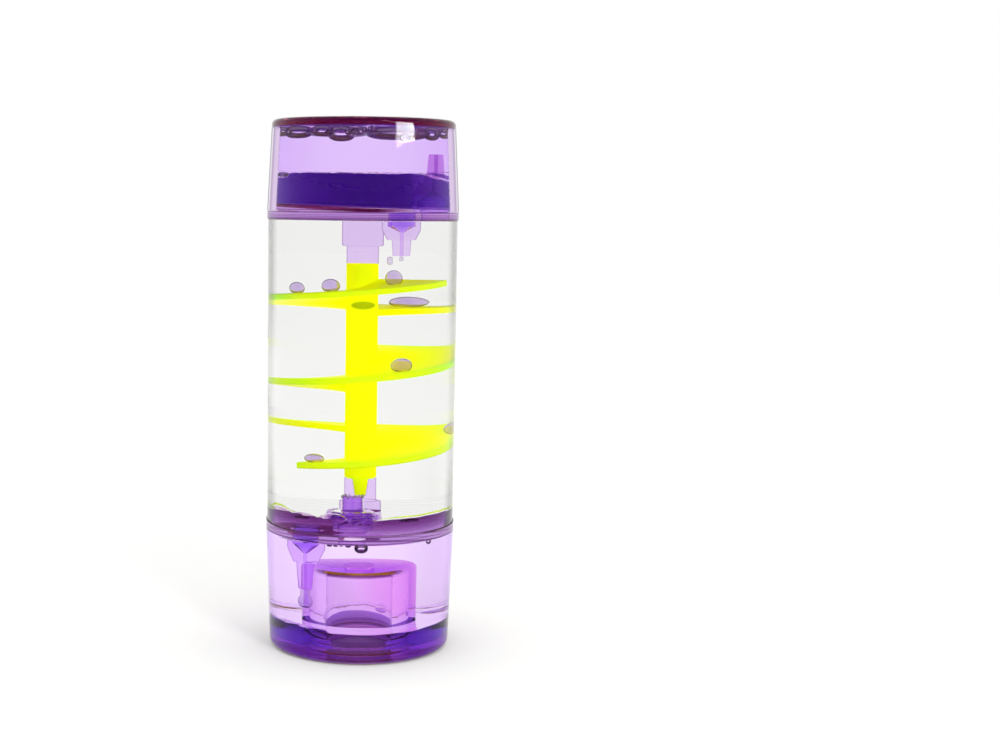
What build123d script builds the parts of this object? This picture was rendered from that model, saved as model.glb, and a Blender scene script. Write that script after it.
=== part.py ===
import os
from math import atan2, cos, degrees, pi, radians, sin

from build123d import *

os.makedirs("parts", exist_ok=True)

# Overall sizes, mm
total_height = 140.0
base_height = 31.9
top_end_height = 23.7
plate_thickness = 2.1
plate_lip = 0.25
foot_taper = 1.1
crown_taper = 1.25
fit_gap = 0.08
seat_gap = 0.15
cut_overrun = 1.0

# Middle tube
tube_radius = 25.05
tube_wall = 1.9

# Base cup and the hollow in its underside
base_thickness = 3.5
base_wall = 2.0
base_corner = 1.8
punt_side_gap = 1.45
punt_headroom = 1.0
punt_wall = 1.5
punt_corner = 1.6
plug_radius = 2.6
plug_edge = 0.2

# Top sleeve and the tinted cup inside it, whose roof closes the sleeve
shell_wall = 1.5
shell_corner = 1.3
cup_mouth_gap = 1.0
cup_crown_gap = 0.75
cup_wall = 1.2
cup_roof = 2.0
cup_edge = 0.2

# Centre bosses that hold the ramp
boss_radius = 3.85
boss_neck_radius = 2.97
boss_edge = 0.4
upper_boss_height = 6.8
upper_neck_height = 4.5
upper_pin_radius = 1.3
upper_pin_length = 4.7
lower_boss_height = 6.3
lower_neck_height = 6.0
lower_pin_radius = 1.53
lower_pin_tip_radius = 1.0
lower_pin_length = 4.6

# Nozzles of both plates
nozzle_side_gap = 4.75
nozzle_spread = 49.0
lower_nozzle_angle = -7.0
upper_nozzle_angle = 37.0
nozzle_cup_radius = 4.4
nozzle_wall = 1.3
nozzle_bore = 0.4
nozzle_rim = 1.2
short_cup_height = 4.9
short_tip_height = 4.1
short_tip_radius = 2.2
short_tip_end_radius = 1.95
short_well_depth = 3.0
long_cup_height = 7.4
long_cup_end_radius = 2.9
long_tip_height = 7.2
long_tip_radius = 2.05
long_tip_end_radius = 1.6
long_well_depth = 5.0

# Ramp: a column with three flights of one right-handed spiral
column_radius = 2.97
flight_thickness = 1.6
flight_wall_gap = 0.3
flight_edge = 0.5
column_foot_edge = 0.7

# One turn of the spiral, and where each flight passes the front, as shares of the column's length
flight_pitch_share = 0.1947
top_flight_share = 0.8817
middle_flight_share = 0.493
bottom_flight_share = 0.1078

# Angles where each flight ends and starts
top_flight_angles = (-210.0, 65.0)
middle_flight_angles = (-178.0, 178.0)
bottom_flight_angles = (-44.0, 210.0)

# Coloured liquid
upper_pool_depth = 9.4
middle_pool_depth = 3.4
lower_pool_depth = 4.0
pool_edge = 0.8
pool_gap = 0.12
well_gap = 0.05

# Width and height of each drop on the ramp
landed_drop_width = 3.9
top_front_drop_size = (4.6, 3.0)
top_left_drop_size = (4.3, 2.7)
top_back_drop_size = (4.2, 2.4)
top_end_drop_size = (5.0, 2.6)
middle_front_drop_size = (5.4, 3.2)
bottom_right_drop_size = (4.8, 2.9)
bottom_end_drop_size = (5.2, 2.0)
drop_waist_share = 0.38
drop_contact_share = 0.79
drop_contact_slope = (-0.7, -0.7)

# Drops that fall
falling_bead_radius = 0.55
falling_drop_radius = 0.65
falling_drop_offset = 2.9
hanging_drop_radius = 1.75
hanging_neck_radius = 1.15

# Heights of the drops under the nozzles, as shares of the way down from the tip
falling_bead_share = 0.133
falling_drop_share = 0.233
landed_drop_share = 0.389
hanging_drop_share = 0.51
hanging_neck_share = 0.22
hanging_bulb_share = 0.39

# Sizes that follow
tube_bore = tube_radius - tube_wall
joint_radius = tube_radius + plate_lip
foot_radius = joint_radius - foot_taper
crown_radius = joint_radius - crown_taper
cup_mouth_radius = joint_radius - shell_wall - cup_mouth_gap
cup_roof_radius = crown_radius - shell_wall - cup_crown_gap
lower_plate_base = base_height
lower_plate_top = lower_plate_base + plate_thickness
upper_plate_top = total_height - top_end_height
upper_plate_base = upper_plate_top - plate_thickness
cup_lid_radius = crown_radius - shell_wall - fit_gap
cup_ceiling = total_height - cup_roof
nozzle_circle = tube_bore - nozzle_cup_radius - nozzle_side_gap
punt_radius = nozzle_circle - long_tip_radius - punt_side_gap
punt_bore = punt_radius - punt_wall
punt_height = lower_plate_base - long_cup_height - punt_headroom
punt_ceiling = punt_height - punt_wall
flight_radius = tube_bore - flight_wall_gap
upper_boss_end = upper_plate_base - upper_boss_height
column_top = upper_boss_end - upper_neck_height
lower_boss_end = lower_plate_top + lower_boss_height
column_foot = lower_boss_end + lower_neck_height
column_length = column_top - column_foot
flight_pitch = flight_pitch_share * column_length
top_flight_z = column_foot + top_flight_share * column_length
middle_flight_z = column_foot + middle_flight_share * column_length
bottom_flight_z = column_foot + bottom_flight_share * column_length
short_length = short_cup_height + short_tip_height
long_length = long_cup_height + long_tip_height
upper_tip = upper_plate_base - short_length
lower_tip = lower_plate_base - long_length
upper_drip = upper_tip - top_flight_z
lower_drip = lower_tip - base_thickness - lower_pool_depth
landed_drop_size = (landed_drop_width, landed_drop_share * upper_drip)


def around(distance, angle, z):
    """A point at an angle from the front (-Y) towards the right (+X)."""
    return Vector(distance * sin(radians(angle)), -distance * cos(radians(angle)), z)


def save(piece, name):
    piece.part.label = name
    export_step(piece.part, f"parts/{name}.step")


def flight_height(flight_z, angle):
    """Middle of a flight's thickness at an angle."""
    return flight_z + flight_pitch * angle / 360.0


def turned(outline, centre=(0, 0, 0)):
    """Solid turned from an outline of (distance, height) points about a vertical axis."""
    with BuildPart() as solid:
        with BuildSketch(Plane(origin=centre, x_dir=(1, 0, 0), z_dir=(0, -1, 0))):
            with BuildLine():
                Polyline(*outline, close=True)
            make_face()
        revolve(axis=Axis(centre, (0, 0, 1)))
    return solid.part


def disc(radius, base, height, centre=(0, 0, 0)):
    """Upright cylinder that starts at a height base."""
    place = Vector(centre)
    with BuildPart() as solid:
        with BuildSketch(Plane(origin=(place.X, place.Y, base))):
            Circle(radius)
        extrude(amount=height)
    return solid.part


# Base cup: thick floor, tapered wall and a hollow pushed up from below
def base_inner_radius(z):
    return foot_radius + (joint_radius - foot_radius) * z / lower_plate_base - base_wall


base_outline = [
    (0, 0),
    (foot_radius, 0),
    (joint_radius, lower_plate_base),
    (0, lower_plate_base),
]
chamber_outline = [
    (punt_radius, base_thickness),
    (base_inner_radius(base_thickness), base_thickness),
    (base_inner_radius(lower_plate_base), lower_plate_base),
    (0, lower_plate_base),
    (0, punt_height),
    (punt_radius, punt_height),
]

with BuildPart() as base_cup:
    add(turned(base_outline))
    fillet(base_cup.edges().group_by(Axis.Z)[0], radius=base_corner)
    add(turned(chamber_outline), mode=Mode.SUBTRACT)
    fillet(
        [e for e in base_cup.edges() if abs(e.center().Z - punt_height) < seat_gap],
        radius=punt_corner,
    )
    add(disc(punt_bore, 0, punt_ceiling), mode=Mode.SUBTRACT)
    fillet(
        [e for e in base_cup.edges() if abs(e.center().Z - punt_ceiling) < seat_gap],
        radius=punt_corner,
    )
    add(disc(plug_radius + fit_gap, punt_ceiling, punt_wall), mode=Mode.SUBTRACT)
save(base_cup, "base_cup")

# Fill plug in the roof of the hollow
with BuildPart() as fill_plug:
    add(disc(plug_radius, punt_ceiling, punt_wall))
    chamfer(fill_plug.edges().filter_by(GeomType.CIRCLE), length=plug_edge)
save(fill_plug, "fill_plug")

# Clear middle tube
with BuildPart() as tube:
    add(disc(tube_radius, lower_plate_top, upper_plate_base - lower_plate_top))
    add(disc(tube_bore, lower_plate_top, upper_plate_base - lower_plate_top), mode=Mode.SUBTRACT)
save(tube, "tube")


# Nozzles of the divider plates, each from the middle of its plate: 1 is up and -1 down
def nozzle_body(root, sense, angle, cup, tip):
    """Cup and tip, each given as its radius, end radius and height."""
    cup_radius, cup_end, cup_height = cup
    tip_radius, tip_end, tip_height = tip
    shoulder = root + sense * cup_height
    outline = [
        (0, root - sense * seat_gap),
        (cup_radius, root - sense * seat_gap),
        (cup_radius, root + sense * cup_height / 2),
        (cup_end, shoulder),
        (tip_radius, shoulder),
        (tip_end, shoulder + sense * tip_height),
        (0, shoulder + sense * tip_height),
    ]
    return turned(outline, around(nozzle_circle, angle, 0))


def nozzle_well(root, sense, angle, well, length):
    """Funnel and bore, from beyond the far face of the plate to beyond the tip."""
    mouth = nozzle_cup_radius - nozzle_wall
    outline = [
        (0, root - sense * (plate_thickness + cut_overrun)),
        (mouth, root - sense * (plate_thickness + cut_overrun)),
        (mouth, root + sense * well / 2),
        (nozzle_bore, root + sense * well),
        (nozzle_bore, root + sense * (length + cut_overrun)),
        (0, root + sense * (length + cut_overrun)),
    ]
    return turned(outline, around(nozzle_circle, angle, 0))


short_cup = (nozzle_cup_radius, nozzle_cup_radius - nozzle_rim, short_cup_height)
short_tip = (short_tip_radius, short_tip_end_radius, short_tip_height)
long_cup = (nozzle_cup_radius, long_cup_end_radius, long_cup_height)
long_tip = (long_tip_radius, long_tip_end_radius, long_tip_height)
lower_short_angle = lower_nozzle_angle
lower_long_angle = lower_nozzle_angle - nozzle_spread
upper_short_angle = upper_nozzle_angle
upper_long_angle = upper_nozzle_angle + nozzle_spread

# Lower plate: boss with a tapered socket, short nozzle up and long nozzle down
with BuildPart() as socket:
    with BuildSketch(Plane.XY.offset(column_foot)):
        Circle(lower_pin_radius + fit_gap)
    with BuildSketch(Plane.XY.offset(column_foot - lower_pin_length - seat_gap)):
        Circle(lower_pin_tip_radius + fit_gap)
    loft()

with BuildPart() as lower_plate:
    add(disc(boss_radius, lower_plate_base, plate_thickness + lower_boss_height))
    fillet(lower_plate.edges().group_by(Axis.Z)[-1], radius=boss_edge)
    add(disc(joint_radius, lower_plate_base, plate_thickness))
    add(disc(boss_neck_radius, lower_plate_base, column_foot - lower_plate_base))
    add(nozzle_body(lower_plate_top, 1, lower_short_angle, short_cup, short_tip))
    add(nozzle_body(lower_plate_base, -1, lower_long_angle, long_cup, long_tip))
    add(socket.part, mode=Mode.SUBTRACT)
    add(
        nozzle_well(lower_plate_top, 1, lower_short_angle, short_well_depth, short_length),
        mode=Mode.SUBTRACT,
    )
    add(
        nozzle_well(lower_plate_base, -1, lower_long_angle, long_well_depth, long_length),
        mode=Mode.SUBTRACT,
    )
save(lower_plate, "lower_plate")

# Upper plate: boss with a pin, short nozzle down and long nozzle up
with BuildPart() as upper_plate:
    add(disc(boss_radius, upper_boss_end, upper_boss_height + plate_thickness))
    fillet(upper_plate.edges().group_by(Axis.Z)[0], radius=boss_edge)
    add(disc(joint_radius, upper_plate_base, plate_thickness))
    add(disc(boss_neck_radius, column_top, upper_plate_top - column_top))
    add(disc(upper_pin_radius, column_top - upper_pin_length, upper_pin_length))
    add(nozzle_body(upper_plate_base, -1, upper_short_angle, short_cup, short_tip))
    add(nozzle_body(upper_plate_top, 1, upper_long_angle, long_cup, long_tip))
    add(
        nozzle_well(upper_plate_base, -1, upper_short_angle, short_well_depth, short_length),
        mode=Mode.SUBTRACT,
    )
    add(
        nozzle_well(upper_plate_top, 1, upper_long_angle, long_well_depth, long_length),
        mode=Mode.SUBTRACT,
    )
save(upper_plate, "upper_plate")


# Ramp: column, pin, socket and three spiral flights
def flight(turn_angle):
    """Spiral blade that climbs from +X through an angle."""
    inner = column_radius / 2
    middle = (inner + flight_radius) / 2
    with BuildPart() as blade:
        with BuildLine() as line:
            Helix(pitch=flight_pitch, height=flight_pitch * turn_angle / 360.0, radius=middle)
        path = line.line
        with BuildSketch(Plane(origin=path @ 0, x_dir=(1, 0, 0), z_dir=path % 0)):
            RectangleRounded(flight_radius - inner, flight_thickness, flight_edge)
        sweep(path=path, is_frenet=True)
    return blade.part


with BuildPart() as column_pin:
    with BuildSketch(Plane.XY.offset(column_foot + seat_gap)):
        Circle(lower_pin_radius)
    with BuildSketch(Plane.XY.offset(column_foot - lower_pin_length)):
        Circle(lower_pin_tip_radius)
    loft()

flights = [
    (top_flight_z, top_flight_angles),
    (middle_flight_z, middle_flight_angles),
    (bottom_flight_z, bottom_flight_angles),
]

with BuildPart() as ramp:
    add(disc(column_radius, column_foot, column_top - column_foot))
    fillet(ramp.edges().group_by(Axis.Z)[0], radius=column_foot_edge)
    add(column_pin.part)
    for front_z, (low, high) in flights:
        with Locations(Location((0, 0, flight_height(front_z, low)), (0, 0, low - 90.0))):
            add(flight(high - low))
    add(
        disc(upper_pin_radius + fit_gap, column_top, -(upper_pin_length + seat_gap)),
        mode=Mode.SUBTRACT,
    )
save(ramp, "ramp")

# Top end: clear sleeve round a tinted cup
shell_outline = [
    (joint_radius, upper_plate_top),
    (crown_radius, total_height),
    (crown_radius - shell_wall, total_height),
    (joint_radius - shell_wall, upper_plate_top),
]
cup_outline = [
    (0, upper_plate_top),
    (cup_mouth_radius, upper_plate_top),
    (cup_roof_radius, cup_ceiling),
    (cup_lid_radius, cup_ceiling),
    (cup_lid_radius, total_height),
    (0, total_height),
]
cup_hollow = [
    (0, upper_plate_top),
    (cup_mouth_radius - cup_wall, upper_plate_top),
    (cup_roof_radius - cup_wall, cup_ceiling),
    (0, cup_ceiling),
]

with BuildPart() as top_shell:
    add(turned(shell_outline))
    fillet(top_shell.edges().group_by(Axis.Z)[-1].sort_by(SortBy.RADIUS)[-1], radius=shell_corner)
save(top_shell, "top_shell")

with BuildPart() as top_cup:
    add(turned(cup_outline))
    chamfer(top_cup.edges().group_by(Axis.Z)[-1], length=cup_edge)
    add(turned(cup_hollow), mode=Mode.SUBTRACT)
save(top_cup, "top_cup")

# Pools of coloured liquid, each with room for what stands in it
cup_taper = (cup_mouth_radius - cup_roof_radius) / (cup_ceiling - upper_plate_top)
upper_pool_radius = cup_mouth_radius - cup_taper * upper_pool_depth - cup_wall - pool_gap

with BuildPart() as upper_pool:
    add(disc(upper_pool_radius, upper_plate_top, upper_pool_depth))
    fillet(upper_pool.edges().group_by(Axis.Z)[-1], radius=pool_edge)
    add(
        disc(
            nozzle_cup_radius + pool_gap,
            upper_plate_top,
            upper_pool_depth,
            around(nozzle_circle, upper_long_angle, 0),
        ),
        mode=Mode.SUBTRACT,
    )
save(upper_pool, "upper_pool")

with BuildPart() as middle_pool:
    add(disc(tube_bore - pool_gap, lower_plate_top, middle_pool_depth))
    fillet(middle_pool.edges().group_by(Axis.Z)[-1], radius=pool_edge)
    add(disc(boss_radius + pool_gap, lower_plate_top, middle_pool_depth), mode=Mode.SUBTRACT)
    add(
        disc(
            nozzle_cup_radius + pool_gap,
            lower_plate_top,
            middle_pool_depth,
            around(nozzle_circle, lower_short_angle, 0),
        ),
        mode=Mode.SUBTRACT,
    )
save(middle_pool, "middle_pool")

with BuildPart() as lower_pool:
    add(disc(base_inner_radius(base_thickness) - pool_gap, base_thickness, lower_pool_depth))
    fillet(lower_pool.edges().group_by(Axis.Z)[-1], radius=pool_edge)
    add(disc(punt_radius + pool_gap, base_thickness, lower_pool_depth), mode=Mode.SUBTRACT)
save(lower_pool, "lower_pool")


# Coloured liquid in the wells of the two nozzles that drip
def well_filling(root, angle, well):
    mouth = nozzle_cup_radius - nozzle_wall - well_gap
    outline = [
        (0, root + plate_thickness),
        (mouth, root + plate_thickness),
        (mouth, root - well / 2 + well_gap),
        (nozzle_bore, root - well + well_gap),
        (0, root - well + well_gap),
    ]
    with BuildPart() as filling:
        add(turned(outline, around(nozzle_circle, angle, 0)))
    return filling


upper_well_dye = well_filling(upper_plate_base, upper_short_angle, short_well_depth)
save(upper_well_dye, "upper_well_dye")
lower_well_dye = well_filling(lower_plate_base, lower_long_angle, long_well_depth)
save(lower_well_dye, "lower_well_dye")


# Drops that ride on the flights: flight height, angle, share of the flight's radius and size
ramp_drops = {
    "landed_drop": (top_flight_z, 31.0, 0.595, landed_drop_size),
    "top_front_drop": (top_flight_z, -22.0, 0.858, top_front_drop_size),
    "top_left_drop": (top_flight_z, -50.0, 0.867, top_left_drop_size),
    "top_back_drop": (top_flight_z, -178.0, 0.805, top_back_drop_size),
    "top_end_drop": (top_flight_z, -199.0, 0.805, top_end_drop_size),
    "middle_front_drop": (middle_flight_z, 31.0, 0.796, middle_front_drop_size),
    "bottom_right_drop": (bottom_flight_z, 116.0, 0.77, bottom_right_drop_size),
    "bottom_end_drop": (bottom_flight_z, -34.0, 0.858, bottom_end_drop_size),
}


def ramp_drop(flight_z, angle, radius_share, size):
    """Flat-footed drop, tilted with the slope below it."""
    width, height = size
    distance = radius_share * flight_radius
    top = flight_height(flight_z, angle) + flight_thickness / 2 + seat_gap
    place = around(distance, angle, top)
    outward = around(1, angle, 0)
    slope = flight_pitch / (2 * pi * distance)
    uphill = around(1, angle + 90.0, 0) + Vector(0, 0, slope)
    normal = outward.cross(uphill).normalized()
    waist = height * drop_waist_share
    with BuildPart() as drop:
        with BuildSketch(Plane(origin=place, x_dir=outward, z_dir=outward.cross(normal))):
            with BuildLine():
                crown = Spline(
                    (0, height),
                    (width / 2, waist),
                    (width / 2 * drop_contact_share, 0),
                    tangents=[(1, 0), (0, -1), drop_contact_slope],
                )
                Polyline(crown @ 1, (0, 0), crown @ 0)
            make_face()
        revolve(axis=Axis(place, normal))
    return drop


for drop_name, drop_sizes in ramp_drops.items():
    save(ramp_drop(*drop_sizes), drop_name)


# Drops that fall from the nozzles
def free_drop(place, radius, height):
    """Round drop whose top is at place."""
    with BuildPart() as drop:
        with BuildSketch(Plane(origin=place, x_dir=(1, 0, 0), z_dir=(0, -1, 0))):
            with BuildLine():
                side = Spline(
                    (0, 0),
                    (radius, -height / 2),
                    (0, -height),
                    tangents=[(1, 0), (0, -1), (-1, 0)],
                )
                Line(side @ 1, side @ 0)
            make_face()
        revolve(axis=Axis(place, (0, 0, 1)))
    return drop


bead_place = around(nozzle_circle, upper_short_angle, upper_tip - seat_gap)
falling_bead_height = falling_bead_share * upper_drip
save(free_drop(bead_place, falling_bead_radius, falling_bead_height), "falling_bead")

drift = degrees(atan2(falling_drop_offset, nozzle_circle))
drop_place = around(nozzle_circle, upper_short_angle - drift, upper_tip - seat_gap)
falling_drop_height = falling_drop_share * upper_drip
save(free_drop(drop_place, falling_drop_radius, falling_drop_height), "falling_drop")

hanging_place = around(nozzle_circle, lower_long_angle, lower_tip - seat_gap)
hanging_height = hanging_drop_share * lower_drip
with BuildPart() as hanging_drop:
    with BuildSketch(Plane(origin=hanging_place, x_dir=(1, 0, 0), z_dir=(0, -1, 0))):
        with BuildLine():
            bulb = Spline(
                (0, -hanging_height),
                (hanging_drop_radius, -hanging_height * (1 - hanging_bulb_share)),
                (hanging_neck_radius, -hanging_height * hanging_neck_share),
                tangents=[(1, 0), (0, 1), (0, 1)],
            )
            Polyline(bulb @ 1, (hanging_neck_radius, 0), (0, 0), bulb @ 0)
        make_face()
    revolve(axis=Axis(hanging_place, (0, 0, 1)))
save(hanging_drop, "hanging_drop")
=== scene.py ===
import random
from math import cos, hypot, pi, radians, sin, sqrt, tan

import bmesh
import bpy
from mathutils import Matrix, Vector, noise


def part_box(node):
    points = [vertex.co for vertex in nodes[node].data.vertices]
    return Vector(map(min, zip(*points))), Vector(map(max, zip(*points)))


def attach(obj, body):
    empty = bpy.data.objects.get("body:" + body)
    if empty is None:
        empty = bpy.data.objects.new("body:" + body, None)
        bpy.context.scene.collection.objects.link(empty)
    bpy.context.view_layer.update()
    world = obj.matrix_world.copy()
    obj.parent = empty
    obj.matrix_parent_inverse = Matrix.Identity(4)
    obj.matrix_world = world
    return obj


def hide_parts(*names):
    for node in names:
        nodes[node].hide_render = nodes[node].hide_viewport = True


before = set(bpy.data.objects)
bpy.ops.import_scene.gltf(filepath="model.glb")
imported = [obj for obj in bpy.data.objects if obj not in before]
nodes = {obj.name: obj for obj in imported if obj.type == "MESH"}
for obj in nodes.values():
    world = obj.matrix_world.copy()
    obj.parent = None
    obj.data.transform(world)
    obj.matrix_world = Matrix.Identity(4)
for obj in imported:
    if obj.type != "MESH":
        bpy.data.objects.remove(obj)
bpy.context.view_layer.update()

# Walls, corners and gaps of the moulded parts, metres
joint_gap = 0.00003
joint_edge = 0.00018
tube_wall = 0.0019
base_floor = 0.0035
base_wall = 0.002
base_corner = 0.0018
inner_corner = 0.0009
foot_taper = 0.0011
hollow_wall = 0.0015
hollow_corner = 0.0016
shell_wall = 0.0015
shell_corner = 0.0013
crown_taper = 0.00125
cup_wall = 0.0012
cup_roof = 0.002
cup_crown_gap = 0.00022
lid_gap = 0.00008
lid_edge = 0.0002
plug_radius = 0.0026
plug_gap = 0.00008
liquid_gap = 0.00004

# Nozzles of the two plates by the places of their axes, and the lower plate's boss
upper_long = (0.01397, -0.00098)
lower_short = (-0.00171, -0.0139)
lower_long = (-0.01161, -0.00783)
nozzle_cup_radius = 0.0044
nozzle_clearance = 0.00004
boss_radius = 0.00385
short_nozzle_height = 0.0091

# Marks on the ramp's column: the pin that shows through its top, and a painted shadow of a drop
pin_sides = (-0.0017, 0.0019)
pin_depths = (0.0047, 0.0006)
shadow_place = (0.0002, 0.0108)
shadow_reach = (0.0027, 0.0013)
ramp_pin_length = 0.005

# How finely round pieces are cut
case_segments = 288
drop_segments = 40
corner_steps = 7

# Sizes read from the frame
base_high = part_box("base_cup")[1]
tube_low, tube_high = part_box("tube")
shell_low, shell_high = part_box("top_shell")
cup_low, cup_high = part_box("top_cup")
ramp_low, ramp_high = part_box("ramp")
joint_radius = base_high.x
foot_radius = joint_radius - foot_taper
crown_radius = joint_radius - crown_taper
tube_radius = tube_high.x
tube_bore = tube_radius - tube_wall
cup_mouth_radius = cup_high.x
hollow_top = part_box("fill_plug")[1].z
hollow_ceiling = hollow_top - hollow_wall
hollow_bore = 0.009
hollow_radius = hollow_bore + hollow_wall
cup_ceiling = cup_high.z - cup_roof
cup_roof_radius = crown_radius - shell_wall - cup_crown_gap
lid_radius = crown_radius - shell_wall - lid_gap

random.seed(7)


def smooth_step(low, high, value):
    share = min(1.0, max(0.0, (value - low) / (high - low)))
    return share * share * (3 - 2 * share)


# Shader maths and nodes
class Shade:
    """A number in a material: sums and products of it add their Math nodes."""

    def __init__(self, finish, socket):
        self.finish = finish
        self.socket = socket

    def maths(self, operation, first, second):
        made = self.finish.add("ShaderNodeMath", {"operation": operation}, {0: first, 1: second})
        return made["Value"]

    def __add__(self, other):
        return self.maths("ADD", self, other)

    def __sub__(self, other):
        return self.maths("SUBTRACT", self, other)

    def __rsub__(self, other):
        return self.maths("SUBTRACT", other, self)

    def __mul__(self, other):
        return self.maths("MULTIPLY", self, other)

    def __truediv__(self, other):
        return self.maths("DIVIDE", self, other)

    def __pow__(self, other):
        return self.maths("POWER", self, other)

    __radd__ = __add__
    __rmul__ = __mul__

    def larger(self, other):
        return self.maths("MAXIMUM", self, other)

    def above(self, limit):
        return self.maths("GREATER_THAN", self, limit)

    def rise(self, low, high):
        """0 below low, 1 above high and smooth in between."""
        made = self.finish.add(
            "ShaderNodeMapRange",
            {"interpolation_type": "SMOOTHSTEP"},
            {"Value": self, "From Min": low, "From Max": high},
        )
        return made["Result"]

    def band(self, low, high, soft):
        """1 between low and high, with soft sides."""
        return self.rise(low - soft, low + soft) * (1 - self.rise(high - soft, high + soft))


class Finish:
    """A node tree with the few calls that this object's materials need."""

    def __init__(self, owner):
        owner.use_nodes = True
        self.owner = owner
        self.tree = owner.node_tree
        self.tree.nodes.clear()

    def add(self, kind, settings=None, sockets=None):
        """Adds a node, with its settings first, and returns its outputs by name."""
        node = self.tree.nodes.new(kind)
        for key, value in (settings or {}).items():
            if key == "stops":
                self.set_stops(node.color_ramp.elements, value)
            else:
                setattr(node, key, value)
        for key, value in (sockets or {}).items():
            if isinstance(key, int):
                socket = node.inputs[key]
            else:
                socket = next(s for s in node.inputs if s.enabled and s.name == key)
            if isinstance(value, Shade):
                self.tree.links.new(value.socket, socket)
            else:
                socket.default_value = value
        return {s.name: Shade(self, s) for s in node.outputs if s.enabled}

    def set_stops(self, elements, stops):
        while len(elements) < len(stops):
            elements.new(0.5)
        for element, (place, colour) in zip(elements, stops):
            element.position = place
            element.color = (*colour, 1.0)

    def spot(self):
        """Place on the piece, and its distance from the timer's axis and height."""
        place = self.add("ShaderNodeTexCoord")["Object"]
        parts = self.add("ShaderNodeSeparateXYZ", None, {"Vector": place})
        self.across, self.behind = parts["X"], parts["Y"]
        distance = (parts["X"] * parts["X"] + parts["Y"] * parts["Y"]) ** 0.5
        return place, distance, parts["Z"]

    def noise(self, place, scale, detail=2.0, roughness=0.5):
        made = self.add(
            "ShaderNodeTexNoise",
            None,
            {"Vector": place, "Scale": scale, "Detail": detail, "Roughness": roughness},
        )
        return made["Fac"]

    def between(self, share, first, second):
        """Colour between two colours."""
        made = self.add(
            "ShaderNodeMix",
            {"data_type": "RGBA"},
            {"Factor": share, "A": first, "B": second},
        )
        return made["Result"]

    def bump(self, height, depth):
        made = self.add("ShaderNodeBump", None, {"Height": height, "Distance": depth})
        return made["Normal"]

    def clear_shader(self, tint, roughness, ior, shine, normal=None):
        sockets = {
            "Base Color": tint,
            "Roughness": roughness,
            "IOR": ior,
            "Transmission Weight": 1.0,
            "Specular Tint": (shine, shine, shine, 1.0),
        }
        if normal is not None:
            sockets["Normal"] = normal
        return self.add("ShaderNodeBsdfPrincipled", None, sockets)["BSDF"]

    def mix_shaders(self, share, first, second):
        made = self.add("ShaderNodeMixShader", None, {0: share, 1: first, 2: second})
        return made["Shader"]

    def absorb(self, loss):
        """Absorption that takes a loss of red, green and blue in each metre."""
        most = max(loss)
        colour = [1.0 - share / most for share in loss]
        made = self.add(
            "ShaderNodeVolumeAbsorption", None, {"Color": (*colour, 1.0), "Density": most}
        )
        return made["Volume"]

    def close(self, surface, volume=None):
        sockets = {"Surface": surface}
        if volume is not None:
            sockets["Volume"] = volume
        kind = "ShaderNodeOutputWorld"
        if isinstance(self.owner, bpy.types.Material):
            kind = "ShaderNodeOutputMaterial"
        self.add(kind, None, sockets)
        return self.owner


def new_finish(name):
    return Finish(bpy.data.materials.new(name))


# Refraction from air into plastic, from oil into plastic, and from oil into dye or air
into_plastic = 1.47
into_plastic_from_oil = 1.018
into_dye = 0.955
into_bubble = 0.69
white = (1.0, 1.0, 1.0, 1.0)


def plastic(name, air, skin, core, loss, shine, waviness, edge=None):
    """Clear or tinted moulded plastic. Air is 1 where the surface meets air. Skin gives its colour
    there, core its colour where it meets the oil, and edge a shader for its glancing sides."""
    finish = new_finish(name)
    place, distance, height = finish.spot()
    touches_air = air(finish, distance, height)
    facing = finish.add("ShaderNodeLayerWeight", None, {"Blend": 0.5})["Facing"]
    smudge = finish.noise(place, 90.0, 4.0).rise(0.45, 0.7)
    flow = finish.noise(place, 55.0, 1.0)
    outer_tint = skin(finish, facing, distance, height)
    inner_tint = core(finish, facing, distance, height)
    outer = finish.clear_shader(
        outer_tint, smudge * 0.02 + 0.004, into_plastic, shine, finish.bump(flow, waviness)
    )
    inner = finish.clear_shader(
        inner_tint, smudge * 0.004, into_plastic_from_oil, 1.0, finish.bump(flow, waviness)
    )
    if edge is not None:
        outer = finish.mix_shaders(*edge(finish, facing, height, outer))
    surface = finish.mix_shaders(touches_air, inner, outer)
    return finish.close(surface, finish.absorb(loss))


def marked_air(finish, distance, height):
    return finish.add("ShaderNodeAttribute", {"attribute_name": "air"})["Fac"]


def rim_air(finish, distance, height):
    return distance.above(joint_radius - joint_edge)


def plug_air(finish, distance, height):
    return 1 - height.above(hollow_ceiling + liquid_gap)


# Colour from straight on to glancing; the darker glancing stops are painted shade on the edges.
def skin_with_painted_edge_shade(stops):
    def skin(finish, facing, distance, height):
        return finish.add("ShaderNodeValToRGB", {"stops": stops}, {"Fac": facing})["Color"]

    return skin


def tube_skin_painted_edge_shade(finish, facing, distance, height):
    """Clear wall with painted shade on its glancing edges, stronger near both ends."""
    # Painted shade: the glancing edges go grey, darkest near both ends and lighter in the middle.
    middle = height.band(tube_low.z + 0.014, tube_high.z - 0.026, 0.012)
    dark = skin_with_painted_edge_shade([(0.0, (0.92, 0.92, 0.915)), (0.56, (0.91, 0.91, 0.905)),
                      (0.7, (0.3, 0.3, 0.29)), (0.84, (0.18, 0.18, 0.17)),
                      (0.92, (0.5, 0.5, 0.49))])(finish, facing, distance, height)
    light = skin_with_painted_edge_shade([(0.0, (0.92, 0.92, 0.915)), (0.6, (0.91, 0.91, 0.905)),
                       (0.74, (0.55, 0.55, 0.53)), (0.86, (0.42, 0.42, 0.4)),
                       (0.93, (0.7, 0.7, 0.69))])(finish, facing, distance, height)
    return finish.between(middle, dark, light)


def lid_rim(distance, height):
    """1 on the edge of the lid."""
    return distance.above(lid_radius - 0.0004) * height.above(cup_ceiling + liquid_gap)


wine = (0.8, 0.12, 0.05, 1.0)
dark_wine = (0.26, 0.03, 0.16, 1.0)


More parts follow.
